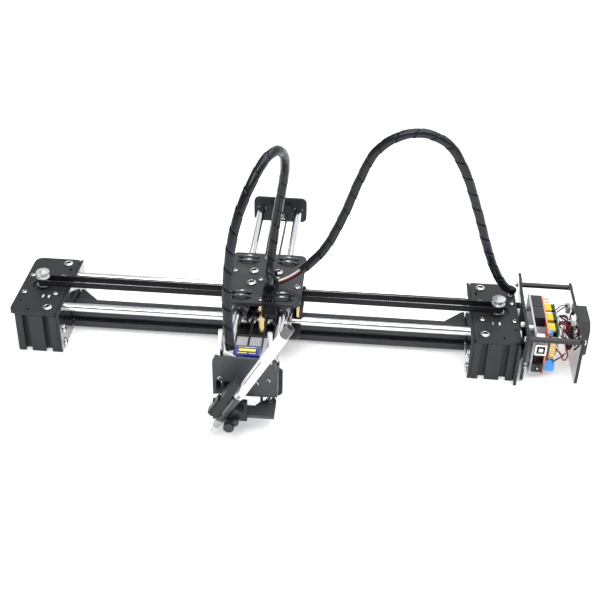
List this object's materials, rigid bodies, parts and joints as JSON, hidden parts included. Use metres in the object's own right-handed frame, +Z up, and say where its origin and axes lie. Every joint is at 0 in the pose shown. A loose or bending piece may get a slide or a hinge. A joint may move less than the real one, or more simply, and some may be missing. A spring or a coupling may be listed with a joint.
{
  "type": "xy pen plotter",
  "caption": "Desktop pen plotter with two crossed belt-driven axes on chromed rods, a lifting pen head and a fan-cooled controller at one end.",
  "frame": {"origin": "middle of the machine's footprint, on the surface it stands on", "axes": "+X towards the controller end, +Y away from the pen head, +Z up"},
  "size_m": [0.5576, 0.33, 0.2364],
  "materials": {
    "black_profile": "black anodised, satin",
    "black_plate": "matt black coating",
    "chrome_rod": "polished",
    "bushing_steel": "ground",
    "turned_aluminium": "turned",
    "brass": "plain",
    "motor_case": "satin black",
    "belt_rubber": "ribbed",
    "cable_wrap": "spiral wrap",
    "servo_blue": "translucent tint",
    "horn_white": "moulded",
    "pen_white": "glossy",
    "board_teal": "solder mask",
    "shield_red": "solder mask",
    "fan_black": "moulded"
  },
  "bodies": {
    "base": {"leg_left_front": "black_profile", "leg_left_rear": "black_profile", "deck_left": "black_plate", "end_plate_left": "black_plate", "corner_brace_left": "black_plate", "motor_left": "motor_case", "leg_right_front": "black_profile", "leg_right_rear": "black_profile", "deck_right": "black_plate", "end_plate_right": "black_plate", "corner_brace_right": "black_plate", "motor_right": "motor_case", "rod_x_front": "chrome_rod", "standoff_front": "black_plate", "rod_x_rear": "chrome_rod", "standoff_rear": "black_plate", "cross_beam": "black_profile", "outer_plate": "black_plate", "board_plate": "black_plate", "fan_plate": "black_plate", "controller_board": "board_teal", "stepper_shield": "shield_red", "fan_frame": "fan_black", "belt_x_left": "belt_rubber", "belt_x_right": "belt_rubber", "cable_base": "cable_wrap"},
    "carriage": {"carriage_top": "black_plate", "carriage_bottom": "black_plate", "cable_clamp": "black_plate", "bushing_y_left_front": "bushing_steel", "bushing_y_left_rear": "bushing_steel", "bushing_y_right_front": "bushing_steel", "bushing_y_right_rear": "bushing_steel", "bushing_x_front": "bushing_steel", "bushing_x_rear": "bushing_steel", "brass_spacer_front": "brass", "brass_spacer_right": "brass", "cable_head": "cable_wrap"},
    "arm": {"arm_rear_plate": "black_plate", "arm_front_plate": "black_plate", "head_frame": "black_plate", "rod_y_left": "chrome_rod", "rod_y_right": "chrome_rod", "servo": "servo_blue", "belt_y_rear_left": "belt_rubber", "belt_y_rear_right": "belt_rubber", "belt_y_front": "belt_rubber"},
    "slider": {"pen_slider": "black_plate", "pen_holder": "black_plate", "pen": "pen_white"},
    "knob": {"clamp_knob": "black_plate"},
    "horn": {"servo_horn": "horn_white"},
    "rotor": {"fan_rotor": "fan_black"},
    "pulley_left": {"pulley_left": "turned_aluminium"},
    "pulley_right": {"pulley_right": "turned_aluminium"},
    "arm_roller": {"idler_arm": "turned_aluminium"},
    "roller_left_front": {"idler_left_front": "turned_aluminium"},
    "roller_left_rear": {"idler_left_rear": "turned_aluminium"},
    "roller_right_front": {"idler_right_front": "turned_aluminium"},
    "roller_right_rear": {"idler_right_rear": "turned_aluminium"}
  },
  "joints": [
    {"name": "x_slide", "type": "slide", "parent": "base", "child": "carriage", "axis": [1, 0, 0], "range_m": [-0.15, 0.15], "deforming": ["belt_x_left", "belt_x_right", "cable_base"]},
    {"name": "y_slide", "type": "slide", "parent": "carriage", "child": "arm", "axis": [0, 1, 0], "range_m": [-0.1, 0.05], "deforming": ["belt_y_rear_left", "belt_y_rear_right", "belt_y_front", "cable_head"]},
    {"name": "pen_lift", "type": "slide", "parent": "arm", "child": "slider", "axis": [0, 0, 1], "range_m": [0, 0.008]},
    {"name": "servo_turn", "type": "hinge", "parent": "arm", "child": "horn", "pos_m": [-0.04375, -0.12735, 0.0657], "axis": [0, -1, 0], "range_deg": [0, 32.2]},
    {"name": "knob_turn", "type": "hinge", "parent": "slider", "child": "knob", "pos_m": [-0.04985, -0.15895, 0.0195], "axis": [0, -1, 0], "continuous": true},
    {"name": "fan_spin", "type": "hinge", "parent": "base", "child": "rotor", "pos_m": [0.27385, 0.00405, 0.029], "axis": [1, 0, 0], "continuous": true},
    {"name": "pulley_left_spin", "type": "hinge", "parent": "base", "child": "pulley_left", "pos_m": [-0.25725, 0.00405, 0.05], "axis": [0, 0, 1], "continuous": true},
    {"name": "pulley_right_spin", "type": "hinge", "parent": "base", "child": "pulley_right", "pos_m": [0.19155, 0.00405, 0.05], "axis": [0, 0, 1], "continuous": true},
    {"name": "roller_left_front_spin", "type": "hinge", "parent": "carriage", "child": "roller_left_front", "pos_m": [-0.04785, -0.00665, 0.05], "axis": [0, 0, 1], "continuous": true},
    {"name": "roller_left_rear_spin", "type": "hinge", "parent": "carriage", "child": "roller_left_rear", "pos_m": [-0.04785, 0.01475, 0.05], "axis": [0, 0, 1], "continuous": true},
    {"name": "roller_right_front_spin", "type": "hinge", "parent": "carriage", "child": "roller_right_front", "pos_m": [-0.02385, -0.00665, 0.05], "axis": [0, 0, 1], "continuous": true},
    {"name": "roller_right_rear_spin", "type": "hinge", "parent": "carriage", "child": "roller_right_rear", "pos_m": [-0.02385, 0.01475, 0.05], "axis": [0, 0, 1], "continuous": true},
    {"name": "arm_roller_spin", "type": "hinge", "parent": "arm", "child": "arm_roller", "pos_m": [-0.03585, -0.10195, 0.05], "axis": [0, 0, 1], "continuous": true}
  ],
  "couplings": [
    {"joint": "pulley_left_spin", "follows": "x_slide", "rad_per_m": -196.08},
    {"joint": "pulley_right_spin", "follows": "x_slide", "rad_per_m": -196.08},
    {"joint": "roller_left_front_spin", "follows": "x_slide", "rad_per_m": 357.14},
    {"joint": "roller_right_front_spin", "follows": "x_slide", "rad_per_m": 357.14},
    {"joint": "roller_left_rear_spin", "follows": "y_slide", "rad_per_m": 178.57},
    {"joint": "roller_right_rear_spin", "follows": "y_slide", "rad_per_m": -178.57},
    {"joint": "arm_roller_spin", "follows": "x_slide", "rad_per_m": -312.5},
    {"joint": "servo_turn", "follows": "pen_lift", "rad_per_m": 69.8}
  ]
}
